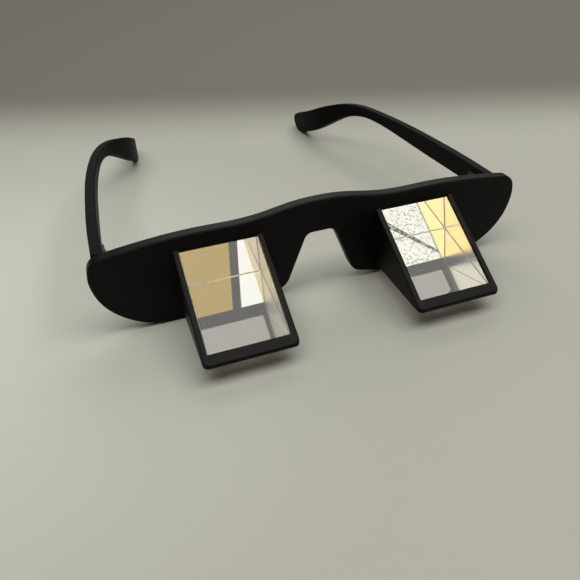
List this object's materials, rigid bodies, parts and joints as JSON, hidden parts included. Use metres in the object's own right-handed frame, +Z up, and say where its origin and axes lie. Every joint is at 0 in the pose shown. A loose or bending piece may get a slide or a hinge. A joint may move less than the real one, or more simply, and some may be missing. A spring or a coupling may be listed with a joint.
{
  "type": "prism bed glasses",
  "caption": "Black glasses with prisms in sloping housings, which turn the view down for reading while lying flat, on folding temples.",
  "frame": {"origin": "crown of the nose notch, in the middle of the front face", "axes": "+Y from the front back along the temples, +Z up, +X to the wearer's left"},
  "size_m": [0.1472, 0.1681, 0.0336],
  "materials": {
    "frame_plastic": "fine matte texture",
    "temple_plastic": "fine matte texture",
    "prism_glass": "polished",
    "hinge_steel": "black satin",
    "screw_steel": "satin"
  },
  "bodies": {
    "front": {"front_frame": "frame_plastic", "left_prism": "prism_glass", "right_prism": "prism_glass", "left_frame_hinge": "hinge_steel", "right_frame_hinge": "hinge_steel", "left_hinge_screw": "screw_steel", "right_hinge_screw": "screw_steel", "frame_hinge_rivets": "screw_steel"},
    "left_temple": {"left_temple": "temple_plastic", "left_temple_hinge": "hinge_steel", "left_temple_rivets": "screw_steel"},
    "right_temple": {"right_temple": "temple_plastic", "right_temple_hinge": "hinge_steel", "right_temple_rivets": "screw_steel"}
  },
  "joints": [
    {"name": "left_temple_fold", "type": "hinge", "parent": "front", "child": "left_temple", "pos_m": [0.062, 0.00565, 0.0016], "axis": [0, 0, 1], "range_deg": [0, 78]},
    {"name": "right_temple_fold", "type": "hinge", "parent": "front", "child": "right_temple", "pos_m": [-0.0658, 0.00565, 0.0016], "axis": [0, 0, -1], "range_deg": [0, 69]}
  ]
}
